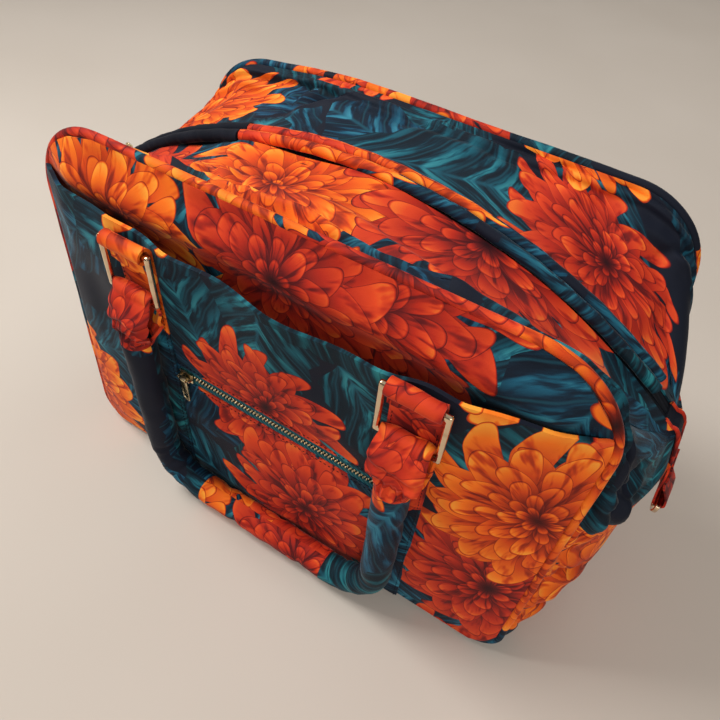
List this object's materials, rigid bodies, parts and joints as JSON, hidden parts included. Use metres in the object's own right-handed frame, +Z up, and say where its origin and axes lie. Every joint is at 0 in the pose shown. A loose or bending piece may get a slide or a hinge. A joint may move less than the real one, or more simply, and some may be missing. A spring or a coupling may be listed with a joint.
{
  "type": "carpet_bag",
  "caption": "Soft carpet bag of floral printed velvet with piped edges, rolled handles on metal rings, an outer slip pocket with a metal zip, and a zipped top under piped lips",
  "frame": {"origin": "Middle of the bag's base, on the surface it stands on.", "axes": "+X to the bag's right seen from its front, +Y from the front to the back, +Z up."},
  "size_m": [0.5122, 0.2702, 0.3008],
  "materials": {
    "printed_velvet": "short velvet pile, printed with blooms and leaves on near-black navy",
    "dark_velvet": "short near-black velvet pile",
    "dark_tape": "woven navy zip tape",
    "teal_tape": "woven teal zip tape",
    "lining_cotton": "plain cotton lining",
    "base_board": "stiff grey board",
    "pale_gold": "polished pale gold plating",
    "pale_brass": "pale antique brass"
  },
  "bodies": {
    "bag": {"back_left_strap": "printed_velvet", "back_panel": "printed_velvet", "back_piping": "printed_velvet", "back_right_strap": "printed_velvet", "base_board": "base_board", "base_panel": "printed_velvet", "front_left_strap": "printed_velvet", "front_panel": "printed_velvet", "front_piping": "printed_velvet", "front_pocket_panel": "printed_velvet", "front_right_strap": "printed_velvet", "front_top_gusset": "printed_velvet", "front_zip_lip": "printed_velvet", "left_d_ring_tab": "printed_velvet", "left_end_gusset": "printed_velvet", "left_zip_end_lips": "dark_velvet", "left_zip_end_tab": "dark_velvet", "lining": "lining_cotton", "main_zip_chain": "dark_tape", "main_zip_tape": "dark_tape", "pocket_zip_tape": "teal_tape", "pocket_zip_teeth": "pale_brass", "rear_top_gusset": "printed_velvet", "rear_zip_lip": "printed_velvet", "right_d_ring_tab": "printed_velvet", "right_end_gusset": "printed_velvet", "right_zip_end_tab": "dark_velvet"},
    "front_rings": {"front_left_ring": "pale_gold", "front_right_ring": "pale_gold"},
    "front_handle": {"front_left_handle_loop": "printed_velvet", "front_right_handle_loop": "printed_velvet", "front_handle_sides": "printed_velvet", "front_handle_grip": "printed_velvet"},
    "back_rings": {"back_left_ring": "pale_gold", "back_right_ring": "pale_gold"},
    "back_handle": {"back_left_handle_loop": "printed_velvet", "back_right_handle_loop": "printed_velvet", "back_handle_sides": "printed_velvet", "back_handle_grip": "printed_velvet"},
    "pocket_slider": {"pocket_zip_slider": "pale_brass"},
    "pocket_pull": {"pocket_zip_pull": "pale_brass"},
    "main_slider": {"main_zip_slider": "pale_brass"},
    "main_pull": {"main_zip_pull": "pale_brass"},
    "right_d_ring_body": {"right_d_ring": "pale_gold"},
    "left_d_ring_body": {"left_d_ring": "pale_gold"}
  },
  "joints": [
    {"name": "front_ring_swing", "type": "hinge", "parent": "bag", "child": "front_rings", "pos_m": [0, -0.1169, 0.252], "axis": [1, 0, 0], "range_deg": [-150, 0]},
    {"name": "front_handle_swing", "type": "hinge", "parent": "front_rings", "child": "front_handle", "pos_m": [0, -0.1169, 0.2138], "axis": [1, 0, 0], "range_deg": [-30, 0]},
    {"name": "back_ring_swing", "type": "hinge", "parent": "bag", "child": "back_rings", "pos_m": [0, 0.1169, 0.252], "axis": [1, 0, 0], "range_deg": [0, 150]},
    {"name": "back_handle_swing", "type": "hinge", "parent": "back_rings", "child": "back_handle", "pos_m": [0, 0.1169, 0.2138], "axis": [1, 0, 0], "range_deg": [0, 30]},
    {"name": "pocket_zip_slide", "type": "slide", "parent": "bag", "child": "pocket_slider", "axis": [1, 0, 0], "range_m": [0, 0.158]},
    {"name": "pocket_pull_swing", "type": "hinge", "parent": "pocket_slider", "child": "pocket_pull", "pos_m": [-0.0793, -0.1114, 0.138], "axis": [1, 0, 0], "range_deg": [-165, 0]},
    {"name": "main_zip_run", "type": "hinge", "parent": "bag", "child": "main_slider", "pos_m": [0, 0, -0.068], "axis": [0, 1, 0], "range_deg": [0, 75]},
    {"name": "main_pull_swing", "type": "hinge", "parent": "main_slider", "child": "main_pull", "pos_m": [-0.22548, 0, 0.22511], "axis": [0, 1, 0], "range_deg": [0, 120]},
    {"name": "right_d_ring_swing", "type": "hinge", "parent": "bag", "child": "right_d_ring_body", "pos_m": [0.25165, 0, 0.14], "axis": [0, 1, 0], "range_deg": [-120, 0]},
    {"name": "left_d_ring_swing", "type": "hinge", "parent": "bag", "child": "left_d_ring_body", "pos_m": [-0.25165, 0, 0.14], "axis": [0, 1, 0], "range_deg": [0, 120]}
  ]
}
